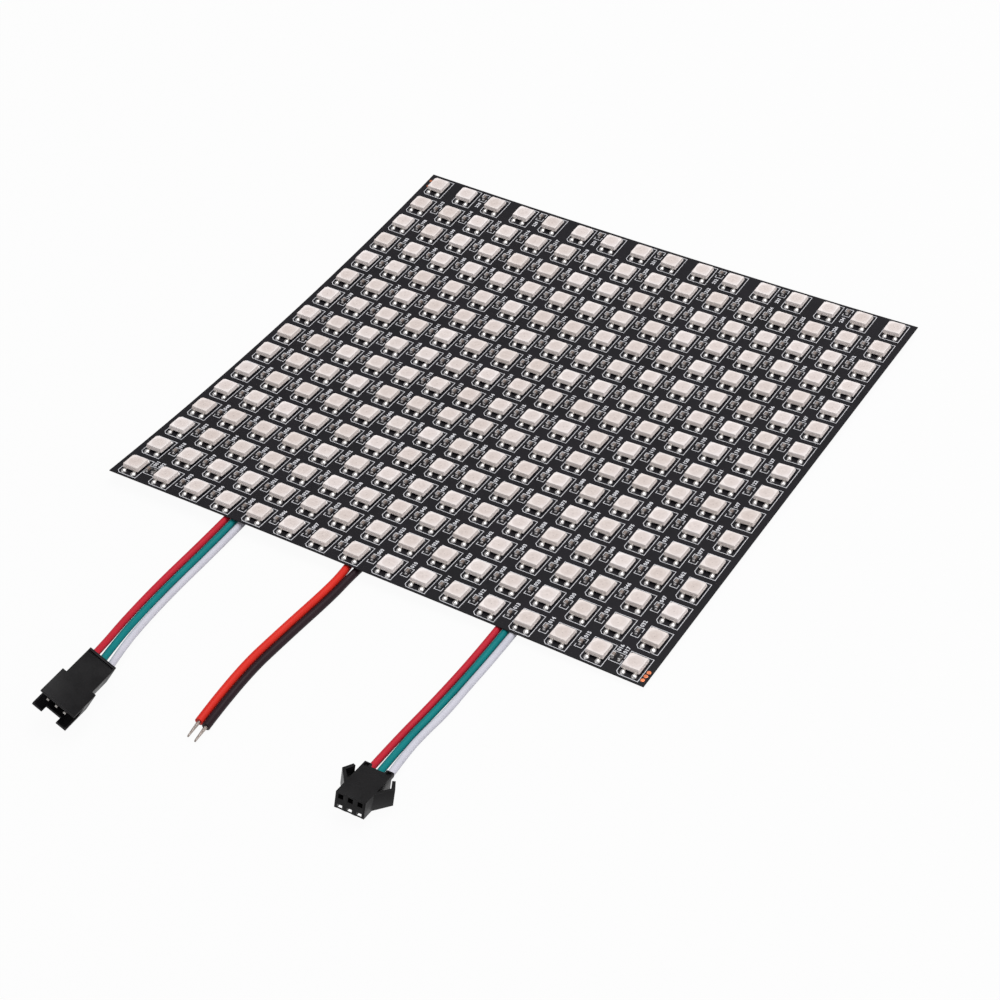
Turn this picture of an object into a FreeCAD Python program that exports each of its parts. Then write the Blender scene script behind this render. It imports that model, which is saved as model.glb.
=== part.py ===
import FreeCAD, Part
import math
import os
import Sketcher
from FreeCAD import Placement, Rotation, Vector

# A flexible LED dot matrix: a thin film that carries 16 rows of 16 square LEDs, with three leads.
# The frame is millimetres. X runs along the front edge, Y to the rear edge and Z up.
# The origin is the middle of the panel, on the surface that it lies on.

doc = FreeCAD.newDocument("led_matrix")
sizes = doc.addObject("Spreadsheet::Sheet", "Sizes")

DIMENSIONS = (
    # Film
    ("film_border", 5.0),
    ("film_thickness", 0.3),
    # Height of the film's underside at nine places: rear, middle and front row, left to right
    ("rear_left_rise", 4.0),
    ("rear_middle_rise", 2.1),
    ("rear_right_rise", 2.2),
    ("middle_left_rise", 0.85),
    ("centre_rise", 0.06),
    ("middle_right_rise", 1.75),
    ("front_left_rise", 3.6),
    ("front_middle_rise", 2.9),
    ("front_right_rise", 0.9),
    # LEDs
    ("led_rows", 16),
    ("led_columns", 16),
    ("led_pitch", 10.0),
    ("led_side", 5.0),
    ("led_top_side", 4.7),
    ("led_corner_cut", 0.5),
    ("led_height", 1.6),
    ("solder_gap", 0.05),
    # Chip parts beside the LEDs
    ("chip_length", 1.6),
    ("chip_width", 0.8),
    ("capacitor_height", 0.8),
    ("resistor_height", 0.45),
    ("chip_offset_along", 5.0),
    ("chip_offset_across", 0.45),
    ("rear_chip_offset_across", 2.1),
    ("paired_capacitor_shift", 1.1),
    ("paired_resistor_shift", 0.7),
    # Leads
    ("wire_sides", 8),
    ("core_sides", 6),
    ("data_wire_diameter", 1.8),
    ("power_wire_diameter", 2.15),
    ("data_core_diameter", 0.8),
    ("power_core_diameter", 1.1),
    ("bare_tip_diameter", 0.5),
    ("bare_length", 5.2),
    ("joint_height", 1.1),
    ("data_joint_radius", 1.0),
    ("power_joint_radius", 1.35),
    ("joint_reach", 2.6),
    ("joint_gap", 0.1),
    # Both lead housings
    ("contact_pitch", 2.5),
    ("chamber_side", 2.3),
    ("barrel_side", 1.6),
    ("lead_insertion", 1.5),
    ("mating_clearance", 0.1),
    # Pin housing
    ("pin_body_width", 7.9),
    ("pin_shroud_width", 10.1),
    ("pin_neck_length", 10.7),
    ("pin_housing_length", 20.1),
    ("shroud_wall", 0.6),
    ("shroud_side_wall", 0.55),
    ("shroud_depth", 8.8),
    ("pin_chamber_depth", 6.2),
    ("pin_wire_height", 3.7),
    ("pin_side", 0.64),
    ("pin_play", 0.05),
    ("pin_setback", 0.5),
    ("key_notch_width", 4.2),
    ("key_notch_depth", 2.0),
    ("side_slot_length", 5.0),
    ("side_slot_foot", 0.95),
    ("rim_length", 0.8),
    ("rim_groove_length", 0.8),
    ("rim_groove_width", 7.1),
    ("rim_groove_depth", 0.5),
    # Latch housing
    ("latch_body_width", 7.7),
    ("latch_housing_length", 13.4),
    ("latch_housing_height", 4.6),
    ("latch_span", 13.8),
    ("latch_root_front", 9.7),
    ("latch_root_rear", 8.3),
    ("latch_elbow_place", 5.2),
    ("latch_tip_span", 11.0),
    ("latch_tip_place", 2.4),
    ("latch_thickness", 0.8),
    ("ear_length", 1.2),
    ("ear_width", 1.9),
    ("ear_height", 1.2),
    ("ear_pocket_margin", 0.4),
    ("ear_pocket_length", 1.2),
    ("ear_pocket_depth", 0.5),
    ("socket_side", 1.3),
    ("socket_depth", 6.4),
    ("socket_drop", 1.1),
    ("contact_wall", 0.2),
    ("contact_play", 0.05),
    ("contact_setback", 2.0),
    ("latch_chamber_depth", 8.0),
    ("latch_wire_height", 2.3),
    ("slot_width", 1.3),
    ("slot_height", 1.2),
    ("slot_length", 3.0),
    # Where the two housings lie: the middle of the rear bottom edge, measured across from the
    # film's front edge, and the turns in degrees
    ("pin_base_along", -37.43),
    ("pin_base_across", -60.30),
    ("pin_base_rise", 2.04),
    ("pin_yaw", 7.6),
    ("pin_pitch", 9.2),
    ("pin_roll", -30.4),
    ("latch_base_along", 41.31),
    ("latch_base_across", -55.86),
    ("latch_base_rise", 0.42),
    ("latch_yaw", 4.7),
    ("latch_pitch", 12.4),
    ("latch_roll", -4.7),
)

for row, (alias, value) in enumerate(DIMENSIONS, 1):
    sizes.set("A%d" % row, alias)
    sizes.set("B%d" % row, str(value))
    sizes.setAlias("B%d" % row, alias)
doc.recompute()


def size(alias):
    return float(sizes.get(alias))


def grid_reach(count_alias):
    """From the middle of the grid to its first or last LED."""
    return (size(count_alias) - 1) / 2 * size("led_pitch")


# The film reaches a border past its outermost LEDs.
HALF_WIDTH = grid_reach("led_columns") + size("film_border")
HALF_DEPTH = grid_reach("led_rows") + size("film_border")


# Film

def rise_grid():
    """The underside's rises, from the left column to the right one, each from front to rear."""
    names = (
        ("front_left_rise", "middle_left_rise", "rear_left_rise"),
        ("front_middle_rise", "centre_rise", "rear_middle_rise"),
        ("front_right_rise", "middle_right_rise", "rear_right_rise"),
    )
    return [[size(name) for name in column] for column in names]


def middle_pole(start, middle, end):
    """The pole that makes a quadratic curve pass through its middle value."""
    return 2 * middle - (start + end) / 2


def film_surface():
    """The gently dished underside, a quadratic patch both ways through the nine rises."""
    columns = []
    for front, middle, rear in rise_grid():
        columns.append((front, middle_pole(front, middle, rear), rear))
    left, centre, right = columns
    bent = [middle_pole(*trio) for trio in zip(left, centre, right)]
    poles = []
    for x, column in ((-HALF_WIDTH, left), (0, bent), (HALF_WIDTH, right)):
        poles.append([Vector(x, y, z) for y, z in zip((-HALF_DEPTH, 0, HALF_DEPTH), column)])
    patch = Part.BezierSurface()
    patch.increase(2, 2)
    for u, pole_row in enumerate(poles, 1):
        for v, pole in enumerate(pole_row, 1):
            patch.setPole(u, v, pole)
    return patch


underside = film_surface()


def film_point(x, y):
    """The place on the underside above or below x, y, and the upward normal there."""
    u = (x / HALF_WIDTH + 1) / 2
    v = (y / HALF_DEPTH + 1) / 2
    normal = underside.normal(u, v)
    if normal.z < 0:
        normal = -normal
    return underside.value(u, v), normal


def make_film():
    film = doc.addObject("Part::Feature", "Film")
    film.Label = "flex_circuit"
    film.Shape = underside.toShape().extrude(Vector(0, 0, size("film_thickness")))
    return film


# Sketches and bodies

def new_body(label):
    body = doc.addObject("PartDesign::Body", label.title().replace("_", ""))
    body.Label = label
    return body


def origin_plane(body, role):
    for feature in body.Origin.OriginFeatures:
        if feature.Role == role:
            return feature
    raise ValueError("no plane called " + role)


def loop_on(sketch, corners):
    """One closed loop of lines whose corners are held by expressions from the origin."""
    first = sketch.GeometryCount
    count = len(corners)
    spots = []
    for n in range(count):
        turn = 2 * math.pi * n / count
        spots.append(Vector(10 * math.cos(turn), 10 * math.sin(turn), 0))
    for n in range(count):
        sketch.addGeometry(Part.LineSegment(spots[n], spots[(n + 1) % count]), False)
    for n in range(count):
        sketch.addConstraint(Sketcher.Constraint("Coincident", first + n, 2, first + (n + 1) % count, 1))
    for n, corner in enumerate(corners):
        for kind, axis, text in (("DistanceX", -2, corner[0]), ("DistanceY", -1, corner[1])):
            if text == "0":
                sketch.addConstraint(Sketcher.Constraint("PointOnObject", first + n, 1, axis))
                continue
            index = sketch.addConstraint(Sketcher.Constraint(kind, -1, 1, first + n, 1, 1.0))
            name = "%s_%d" % (kind, first + n)
            sketch.renameConstraint(index, name)
            sketch.setExpression("Constraints." + name, text)


def new_sketch(body, name, role, loops, offset=None):
    sketch = body.newObject("Sketcher::SketchObject", body.Name + name)
    sketch.AttachmentSupport = (origin_plane(body, role), [""])
    sketch.MapMode = "FlatFace"
    if offset:
        sketch.setExpression("AttachmentOffset.Base.z", offset)
    for corners in loops:
        loop_on(sketch, corners)
    doc.recompute()
    return sketch


def rectangle(x0, x1, y0, y1):
    return ((x0, y0), (x1, y0), (x1, y1), (x0, y1))


def square_about(x, y, side):
    """A square about the middle x, y."""
    return rectangle(
        "(%s) - %s / 2" % (x, side), "(%s) + %s / 2" % (x, side),
        "(%s) - %s / 2" % (y, side), "(%s) + %s / 2" % (y, side),
    )


def pad(body, sketch, length):
    feature = body.newObject("PartDesign::Pad", sketch.Name + "Pad")
    feature.Profile = sketch
    feature.setExpression("Length", length)
    doc.recompute()
    return feature


def pocket(body, sketch, length, reverse=False, both_ways=False):
    """A cut along the sketch's normal backwards, or forwards where reverse is set."""
    before = body.Shape.Volume
    feature = body.newObject("PartDesign::Pocket", sketch.Name + "Pocket")
    feature.Profile = sketch
    feature.Reversed = reverse
    feature.Midplane = both_ways
    feature.setExpression("Length", length)
    doc.recompute()
    if body.Shape.Volume >= before:
        raise RuntimeError(feature.Name + " cuts nothing")
    return feature


def numbered(label, count):
    return "%s_%02d" % (label, count)


# LEDs and chip parts

def led_outline(side):
    """A square with its pin-one corner cut off, at the rear left."""
    half = "Sizes.%s / 2" % side
    cut_corner = "(%s - Sizes.led_corner_cut)" % half
    return (
        ("-" + half, "-" + half), (half, "-" + half), (half, half),
        ("-" + cut_corner, half), ("-" + half, cut_corner),
    )


def make_led_master():
    """One surface-mount LED: a square moulded body, drafted towards its top."""
    body = new_body("led_master")
    foot = new_sketch(body, "Foot", "XY_Plane", [led_outline("led_side")])
    top = new_sketch(body, "Top", "XY_Plane", [led_outline("led_top_side")], "Sizes.led_height")
    loft = body.newObject("PartDesign::AdditiveLoft", "LedBlock")
    loft.Profile = foot
    loft.Sections = [top]
    loft.Ruled = True
    doc.recompute()
    return body


def make_chip_master(label, height):
    """A chip part, its length along Y."""
    body = new_body(label)
    half_width = "Sizes.chip_width / 2"
    half_length = "Sizes.chip_length / 2"
    foot = rectangle("-" + half_width, half_width, "-" + half_length, half_length)
    pad(body, new_sketch(body, "Foot", "XY_Plane", [foot]), height)
    return body


def seated(master, x, y):
    """A copy of a master's shape on top of the film at x, y, square to the film there."""
    place, normal = film_point(x, y)
    lift = size("film_thickness") + size("solder_gap")
    copy = master.Shape.copy()
    copy.Placement = Placement(place + Vector(0, 0, lift), Rotation(Vector(0, 0, 1), normal))
    return copy


def column_place(index):
    return index * size("led_pitch") - grid_reach("led_columns")


def row_place(index):
    return index * size("led_pitch") - grid_reach("led_rows")


def add_group(label, shapes):
    group = doc.addObject("Part::Feature", label.title().replace("_", ""))
    group.Label = label
    group.Shape = Part.makeCompound(shapes)
    return group


def make_led_rows(master):
    """One node for each row, numbered from the front edge."""
    rows = []
    for row_index in range(int(size("led_rows"))):
        y = row_place(row_index)
        leds = [seated(master, column_place(n), y) for n in range(int(size("led_columns")))]
        rows.append(add_group(numbered("led_row", row_index + 1), leds))
    return rows


def chip_line(gap):
    """The middle of the gap between one LED and the next."""
    return column_place(gap) + size("chip_offset_along")


def end_gaps():
    """The two gaps of the front row where the data lines come in and go out."""
    return (0, int(size("led_columns")) - 2)


def capacitor_places(row_index):
    """Where one row's capacitors sit."""
    gaps = range(int(size("led_columns")) - 1)
    if row_index == int(size("led_rows")) - 1:
        y = row_place(row_index) + size("rear_chip_offset_across")
        return [(chip_line(gap), y) for gap in gaps[1::2]]
    y = row_place(row_index) + size("chip_offset_across")
    if row_index > 0:
        return [(chip_line(gap), y) for gap in gaps]
    moved = {gap: size("paired_capacitor_shift") for gap in end_gaps()}
    return [(chip_line(gap) - moved.get(gap, 0), y) for gap in gaps]


def make_capacitor_rows(master):
    rows = []
    for row_index in range(int(size("led_rows"))):
        chips = [seated(master, x, y) for x, y in capacitor_places(row_index)]
        rows.append(add_group(numbered("capacitor_row", row_index + 1), chips))
    return rows


def make_resistors(master):
    """The resistors of the two data lines, each beside the capacitor that shares its gap."""
    y = row_place(0) + size("chip_offset_across")
    chips = [seated(master, chip_line(gap) + size("paired_resistor_shift"), y) for gap in end_gaps()]
    return add_group("data_resistors", chips)


# Leads

def route_edges(points):
    """Straight runs joined by tangent arcs, each as large as its two runs allow."""
    edges = []
    radii = []
    start = points[0]
    for before, corner, after in zip(points, points[1:], points[2:]):
        back = before - corner
        ahead = after - corner
        turn = math.pi - back.getAngle(ahead)
        trim = 0.45 * min(back.Length, ahead.Length)
        radius = trim / math.tan(turn / 2)
        arc_start = corner + back.normalize() * trim
        arc_end = corner + ahead.normalize() * trim
        inward = (arc_start + arc_end) * 0.5 - corner
        to_centre = math.hypot(radius, trim)
        arc_middle = corner + inward.normalize() * (to_centre - radius)
        edges.append(Part.LineSegment(start, arc_start).toShape())
        edges.append(Part.Arc(arc_start, arc_middle, arc_end).toShape())
        radii.append(radius)
        start = arc_end
    edges.append(Part.LineSegment(start, points[-1]).toShape())
    return edges, radii


def section(centre, along, diameter, sides):
    """The corners of an outline about a bar's centre: a round bar's area, and a flat side downwards."""
    corner_radius = diameter / 2 * math.sqrt(2 * math.pi / (sides * math.sin(2 * math.pi / sides)))
    level = Vector(0, 0, 1) if abs(along.z) < abs(along.y) else Vector(0, 1, 0)
    side = along.cross(level).normalize()
    above = side.cross(along).normalize()
    corners = []
    for n in range(sides):
        turn = 2 * math.pi * (n + 0.5) / sides
        corners.append(centre + (side * math.sin(turn) + above * math.cos(turn)) * corner_radius)
    return corners


def closed(corners):
    return Part.makePolygon(corners + corners[:1])


def tapered_bar(start, end, start_diameter, end_diameter, sides):
    """A straight bar with flat sides, closed at both ends."""
    first = section(start, end - start, start_diameter, sides)
    last = section(end, end - start, end_diameter, sides)
    outlines = [first, last]
    for n in range(sides):
        outlines.append([first[n], first[n - 1], last[n - 1], last[n]])
    faces = [Part.Face(closed(outline)) for outline in outlines]
    return Part.makeSolid(Part.makeShell(faces))


def make_wire(label, points, diameter):
    edges, radii = route_edges(points)
    path = Part.Wire(edges)
    outline = section(points[0], points[1] - points[0], diameter, int(size("wire_sides")))
    tube = path.makePipeShell([closed(outline)], True, False)
    expected = math.pi * diameter ** 2 / 4 * path.Length
    if abs(tube.Volume - expected) > 0.01 * expected:
        raise RuntimeError(label + " has the wrong volume")
    print(label, "length %.2f" % path.Length, "radii", [round(radius, 1) for radius in radii])
    wire = doc.addObject("Part::Feature", label.title().replace("_", ""))
    wire.Label = label
    wire.Shape = tube
    return wire


# Each route starts at the solder joint under the film and ends at the contact or the bare end.
# Its Y is measured from the film's front edge.
DATA_ROUTES = {
    "pin_lead_red_wire": (
        (-42.50, 3.10, 2.12), (-42.13, -9.50, 2.40), (-42.43, -27.50, 2.32),
        (-40.93, -43.75, 3.50), (-38.90, -53.75, 4.95), (-37.43, -60.96, 6.59),
    ),
    "pin_lead_green_wire": (
        (-40.20, 3.10, 2.10), (-40.33, -9.50, 1.68), (-40.63, -27.50, 1.60),
        (-39.13, -43.75, 2.80), (-37.05, -53.75, 4.15), (-35.26, -60.88, 5.34),
    ),
    "pin_lead_white_wire": (
        (-37.90, 3.10, 2.08), (-38.50, -9.50, 1.05), (-38.82, -27.50, 0.95),
        (-37.28, -43.75, 2.05), (-34.98, -53.75, 3.36), (-33.10, -60.79, 4.09),
    ),
    "latch_lead_red_wire": (
        (39.20, 3.00, 0.97), (39.70, -10.00, 0.98), (39.17, -28.00, 0.98),
        (38.02, -44.50, 0.97), (39.18, -58.05, 3.41),
    ),
    "latch_lead_green_wire": (
        (41.50, 3.00, 0.97), (41.75, -10.00, 0.96), (41.22, -28.00, 0.96),
        (40.07, -44.50, 0.95), (41.66, -57.88, 3.21),
    ),
    "latch_lead_white_wire": (
        (43.80, 3.00, 0.97), (43.85, -10.00, 0.94), (43.40, -28.00, 0.94),
        (42.12, -44.50, 0.93), (44.15, -57.72, 3.01),
    ),
}
POWER_ROUTES = {
    "power_lead_red_wire": (
        (-5.30, 3.40, 1.58), (-4.64, -1.50, 1.62), (-4.72, -9.50, 1.66),
        (-6.17, -26.00, 1.66), (-7.32, -44.00, 1.62), (-5.62, -60.95, 1.33),
    ),
    "power_lead_black_wire": (
        (-1.90, 3.40, 1.56), (-2.48, -1.50, 1.30), (-2.58, -9.50, 1.12),
        (-4.03, -26.00, 1.08), (-5.18, -44.00, 1.10), (-3.38, -61.30, 1.08),
    ),
}


def placed(route):
    """A route's points in the part's own frame."""
    return [Vector(x, y - HALF_DEPTH, z) for x, y, z in route]


def make_joint(points, joint_radius, core_diameter):
    """The solder that holds a bared wire end against the film's underside."""
    start = points[0]
    away = (start - points[1]).normalize()
    core_end = start + away * size("joint_reach")
    core = tapered_bar(start, core_end, size(core_diameter), size(core_diameter), int(size("core_sides")))
    top, _ = film_point(core_end.x, core_end.y)
    ceiling = Vector(core_end.x, core_end.y, top.z - size("joint_gap"))
    foot = ceiling - Vector(0, 0, size("joint_height"))
    mound = tapered_bar(ceiling, foot, 2 * size(joint_radius), size(joint_radius), 4)
    return mound.fuse(core).removeSplitter()


def make_joints():
    joints = []
    for route in DATA_ROUTES.values():
        joints.append(make_joint(placed(route), "data_joint_radius", "data_core_diameter"))
    for route in POWER_ROUTES.values():
        joints.append(make_joint(placed(route), "power_joint_radius", "power_core_diameter"))
    return add_group("solder_joints", joints)


def make_bare_end(label, points):
    """The tinned end of a power wire, a slim taper along the wire's last run."""
    start = points[-1]
    along = (start - points[-2]).normalize()
    tip = start + along * size("bare_length")
    bare = doc.addObject("Part::Feature", label.title().replace("_", ""))
    bare.Label = label
    bare.Shape = tapered_bar(
        start, tip, size("power_core_diameter"), size("bare_tip_diameter"), int(size("wire_sides")),
    )
    return bare


# Lead housings: their own frame has X across, Y towards the mating end and Z up

def housing_pose(kind):
    across = size(kind + "_base_across") - HALF_DEPTH
    base = Vector(size(kind + "_base_along"), across, size(kind + "_base_rise"))
    yaw = Rotation(Vector(0, 0, 1), 180 + size(kind + "_yaw"))
    pitch = Rotation(Vector(1, 0, 0), size(kind + "_pitch"))
    roll = Rotation(Vector(0, 1, 0), size(kind + "_roll"))
    return Placement(base, yaw * pitch * roll)


CONTACT_PLACES = ("-Sizes.contact_pitch", "0", "Sizes.contact_pitch")
PIN_HEIGHT = "2 * Sizes.shroud_wall + Sizes.latch_housing_height + 2 * Sizes.mating_clearance"
PIN_LINE = "Sizes.shroud_wall + Sizes.mating_clearance + Sizes.latch_housing_height - Sizes.socket_drop"
SOCKET_LINE = "Sizes.latch_housing_height - Sizes.socket_drop"


def make_pin_housing():
    body = new_body("pin_housing")
    body_half = "Sizes.pin_body_width / 2"
    shroud_half = "Sizes.pin_shroud_width / 2"
    neck = "Sizes.pin_neck_length"
    mouth = "Sizes.pin_housing_length"
    outline = (
        ("-" + body_half, "0"), (body_half, "0"), (body_half, neck), (shroud_half, neck),
        (shroud_half, mouth), ("-" + shroud_half, mouth), ("-" + shroud_half, neck), ("-" + body_half, neck),
    )
    pad(body, new_sketch(body, "Outline", "XY_Plane", [outline]), PIN_HEIGHT)

    inner_half = shroud_half + " - Sizes.shroud_side_wall"
    floor_place = mouth + " - Sizes.shroud_depth"
    cavity = rectangle("-%s + Sizes.shroud_side_wall" % shroud_half, inner_half, floor_place, mouth + " + 1")
    cavity_height = "Sizes.latch_housing_height + 2 * Sizes.mating_clearance"
    cavity_sketch = new_sketch(body, "Cavity", "XY_Plane", [cavity], "Sizes.shroud_wall")
    pocket(body, cavity_sketch, cavity_height, reverse=True)

    notch_half = "Sizes.key_notch_width / 2"
    notch = rectangle("-" + notch_half, notch_half, mouth + " - Sizes.key_notch_depth", mouth + " + 1")
    notch_sketch = new_sketch(body, "KeyNotch", "XY_Plane", [notch])
    pocket(body, notch_sketch, "1.5 * Sizes.shroud_wall", reverse=True)

    side_slot = rectangle(
        mouth + " - Sizes.side_slot_length", mouth + " + 1",
        "Sizes.side_slot_foot", PIN_HEIGHT + " - Sizes.shroud_wall",
    )
    slot_sketch = new_sketch(body, "SideSlots", "YZ_Plane", [side_slot])
    pocket(body, slot_sketch, "2 * Sizes.pin_shroud_width", both_ways=True)

    chambers = [square_about(x, "Sizes.pin_wire_height", "Sizes.chamber_side") for x in CONTACT_PLACES]
    pocket(body, new_sketch(body, "Chambers", "XZ_Plane", chambers), "Sizes.pin_chamber_depth")

    bore = "(Sizes.pin_side + 2 * Sizes.pin_play)"
    bores = [square_about(x, PIN_LINE, bore) for x in CONTACT_PLACES]
    pocket(body, new_sketch(body, "PinBores", "XZ_Plane", bores), floor_place + " + 0.1")

    groove_half = "Sizes.rim_groove_width / 2"
    groove = rectangle(
        "-" + groove_half, groove_half,
        "Sizes.rim_length", "Sizes.rim_length + Sizes.rim_groove_length",
    )
    groove_sketch = new_sketch(body, "RimGroove", "XY_Plane", [groove], PIN_HEIGHT)
    pocket(body, groove_sketch, "Sizes.rim_groove_depth")
    body.Placement = housing_pose("pin")
    return body


def latch_outline():
    """Half of the latch housing seen from above, from the mating end round one latch arm."""
    body_half = "Sizes.latch_body_width / 2"
    elbow = "Sizes.latch_span / 2"
    tip = "Sizes.latch_tip_span / 2"
    return (
        (body_half, "Sizes.latch_housing_length"),
        (body_half, "Sizes.latch_root_front"),
        (elbow, "Sizes.latch_elbow_place"),
        (tip, "Sizes.latch_tip_place"),
        (tip + " - 0.9 * Sizes.latch_thickness", "Sizes.latch_tip_place + 0.45 * Sizes.latch_thickness"),
        (elbow + " - 1.2 * Sizes.latch_thickness", "Sizes.latch_elbow_place + 0.05 * Sizes.latch_thickness"),
        (body_half, "Sizes.latch_root_rear"),
        (body_half, "Sizes.ear_length"),
    )


def make_latch_housing():
    body = new_body("latch_housing")
    half = latch_outline()
    other_half = tuple(("-(%s)" % x, y) for x, y in reversed(half))
    pad(body, new_sketch(body, "Outline", "XY_Plane", [half + other_half]), "Sizes.latch_housing_height")

    outer = "Sizes.latch_body_width / 2"
    inner = outer + " - Sizes.ear_width"
    ear_end = "Sizes.ear_length + 0.1"
    ears = (
        rectangle(inner, outer, "0", ear_end),
        rectangle("-(%s)" % outer, "-(%s)" % inner, "0", ear_end),
    )
    ear_foot = "Sizes.latch_housing_height - Sizes.ear_height"
    pad(body, new_sketch(body, "Ears", "XY_Plane", ears, ear_foot), "Sizes.ear_height")

    margin = "Sizes.ear_pocket_margin"
    pit_end = margin + " + Sizes.ear_pocket_length"
    pits = (
        rectangle("%s + %s" % (inner, margin), "%s - %s" % (outer, margin), margin, pit_end),
        rectangle("-(%s) + %s" % (outer, margin), "-(%s) - %s" % (inner, margin), margin, pit_end),
    )
    pit_sketch = new_sketch(body, "EarPockets", "XY_Plane", pits, "Sizes.latch_housing_height")
    pocket(body, pit_sketch, "Sizes.ear_pocket_depth")

    chambers = [square_about(x, "Sizes.latch_wire_height", "Sizes.chamber_side") for x in CONTACT_PLACES]
    pocket(body, new_sketch(body, "Chambers", "XZ_Plane", chambers), "Sizes.latch_chamber_depth")

    face = "-Sizes.latch_housing_length"
    holes = [square_about(x, SOCKET_LINE, "Sizes.socket_side") for x in CONTACT_PLACES]
    hole_sketch = new_sketch(body, "Sockets", "XZ_Plane", holes, face)
    pocket(body, hole_sketch, "Sizes.socket_depth", reverse=True)

    slots = []
    for x in CONTACT_PLACES:
        left = "(%s) - Sizes.slot_width / 2" % x
        right = "(%s) + Sizes.slot_width / 2" % x
        slots.append(rectangle(left, right, "0", "Sizes.slot_height"))
    slot_sketch = new_sketch(body, "Slots", "XZ_Plane", slots, face)
    pocket(body, slot_sketch, "Sizes.slot_length", reverse=True)
    body.Placement = housing_pose("latch")
    return body


# Contacts

def bound_box(name, place, spans):
    """A box with its lowest corner at place, all six values being expressions."""
    box = doc.addObject("Part::Box", name)
    for axis, text in zip(("x", "y", "z"), place):
        box.setExpression("Placement.Base." + axis, text)
    for side, text in zip(("Length", "Width", "Height"), spans):
        box.setExpression(side, text)
    return box


def square_bar(name, x, start, z, side, length):
    """A square bar along Y about the line x, z."""
    place = ("(%s) - %s / 2" % (x, side), start, "(%s) - %s / 2" % (z, side))
    return bound_box(name, place, (side, length, side))


def join(name, pieces):
    fused = doc.addObject("Part::MultiFuse", name)
    fused.Shapes = pieces
    return fused


def place_group(label, pieces, kind):
    group = doc.addObject("Part::Compound", label.title().replace("_", ""))
    group.Label = label
    group.Links = pieces
    group.Placement = housing_pose(kind)
    return group


def make_contact_pins():
    """Three pins, each with the barrel that grips its wire."""
    barrel_length = "Sizes.pin_chamber_depth - Sizes.lead_insertion - 0.2"
    start = "Sizes.lead_insertion + %s - 0.4" % barrel_length
    length = "Sizes.pin_housing_length - Sizes.pin_setback - (%s)" % start
    pins = []
    for number, x in enumerate(CONTACT_PLACES, 1):
        barrel = square_bar(
            "PinBarrel%d" % number, x, "Sizes.lead_insertion", "Sizes.pin_wire_height",
            "Sizes.barrel_side", barrel_length,
        )
        blade = square_bar("PinBlade%d" % number, x, start, PIN_LINE, "Sizes.pin_side", length)
        pins.append(join("Pin%d" % number, [barrel, blade]))
    return place_group("contact_pins", pins, "pin")


def make_socket_contacts():
    """Three square sleeves that take the pins, each with its wire barrel."""
    sleeve_side = "(Sizes.socket_side - 2 * Sizes.contact_play)"
    bore_side = "(Sizes.socket_side - 2 * Sizes.contact_play - 2 * Sizes.contact_wall)"
    sleeve_start = "Sizes.latch_housing_length - Sizes.socket_depth + 0.1"
    sleeve_length = "Sizes.socket_depth - Sizes.contact_setback - 0.1"
    barrel_start = "Sizes.ear_length + Sizes.lead_insertion"
    barrel_length = "Sizes.latch_chamber_depth - 0.1 - (%s)" % barrel_start
    contacts = []
    for number, x in enumerate(CONTACT_PLACES, 1):
        barrel = square_bar(
            "SocketBarrel%d" % number, x, barrel_start, "Sizes.latch_wire_height",
            "Sizes.barrel_side", barrel_length,
        )
        sleeve = square_bar("Sleeve%d" % number, x, sleeve_start, SOCKET_LINE, sleeve_side, sleeve_length)
        bore = square_bar(
            "SleeveBore%d" % number, x, sleeve_start + " + 1.5", SOCKET_LINE, bore_side, sleeve_length,
        )
        solid = join("Socket%d" % number, [barrel, sleeve])
        opened = doc.addObject("Part::Cut", "OpenSocket%d" % number)
        opened.Base = solid
        opened.Tool = bore
        contacts.append(opened)
    return place_group("socket_contacts", contacts, "latch")


def main():
    led_master = make_led_master()
    capacitor_master = make_chip_master("capacitor_master", "Sizes.capacitor_height")
    resistor_master = make_chip_master("resistor_master", "Sizes.resistor_height")
    nodes = [make_film()]
    nodes += make_led_rows(led_master)
    nodes += make_capacitor_rows(capacitor_master)
    nodes.append(make_resistors(resistor_master))
    for label, route in DATA_ROUTES.items():
        nodes.append(make_wire(label, placed(route), size("data_wire_diameter")))
    for label, route in POWER_ROUTES.items():
        nodes.append(make_wire(label, placed(route), size("power_wire_diameter")))
        nodes.append(make_bare_end(label.replace("wire", "bare_end"), placed(route)))
    nodes.append(make_joints())
    nodes.append(make_pin_housing())
    nodes.append(make_contact_pins())
    nodes.append(make_latch_housing())
    nodes.append(make_socket_contacts())
    doc.recompute()

    for item in doc.Objects:
        if "Invalid" in item.State or "Error" in item.State:
            raise RuntimeError(item.Label + " failed: " + str(item.State))
    for node in nodes:
        if node.Shape.isNull() or not node.Shape.isValid():
            raise RuntimeError(node.Label + " has no valid shape")

    os.makedirs("parts", exist_ok=True)
    for node in nodes:
        node.Shape.exportStep("parts/%s.step" % node.Label)
    print(len(nodes), "nodes,", sum(len(node.Shape.Solids) for node in nodes), "solids")


main()
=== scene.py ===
import math
import random

import bmesh
import bpy
import numpy as np
from mathutils import Matrix, Vector


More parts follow.
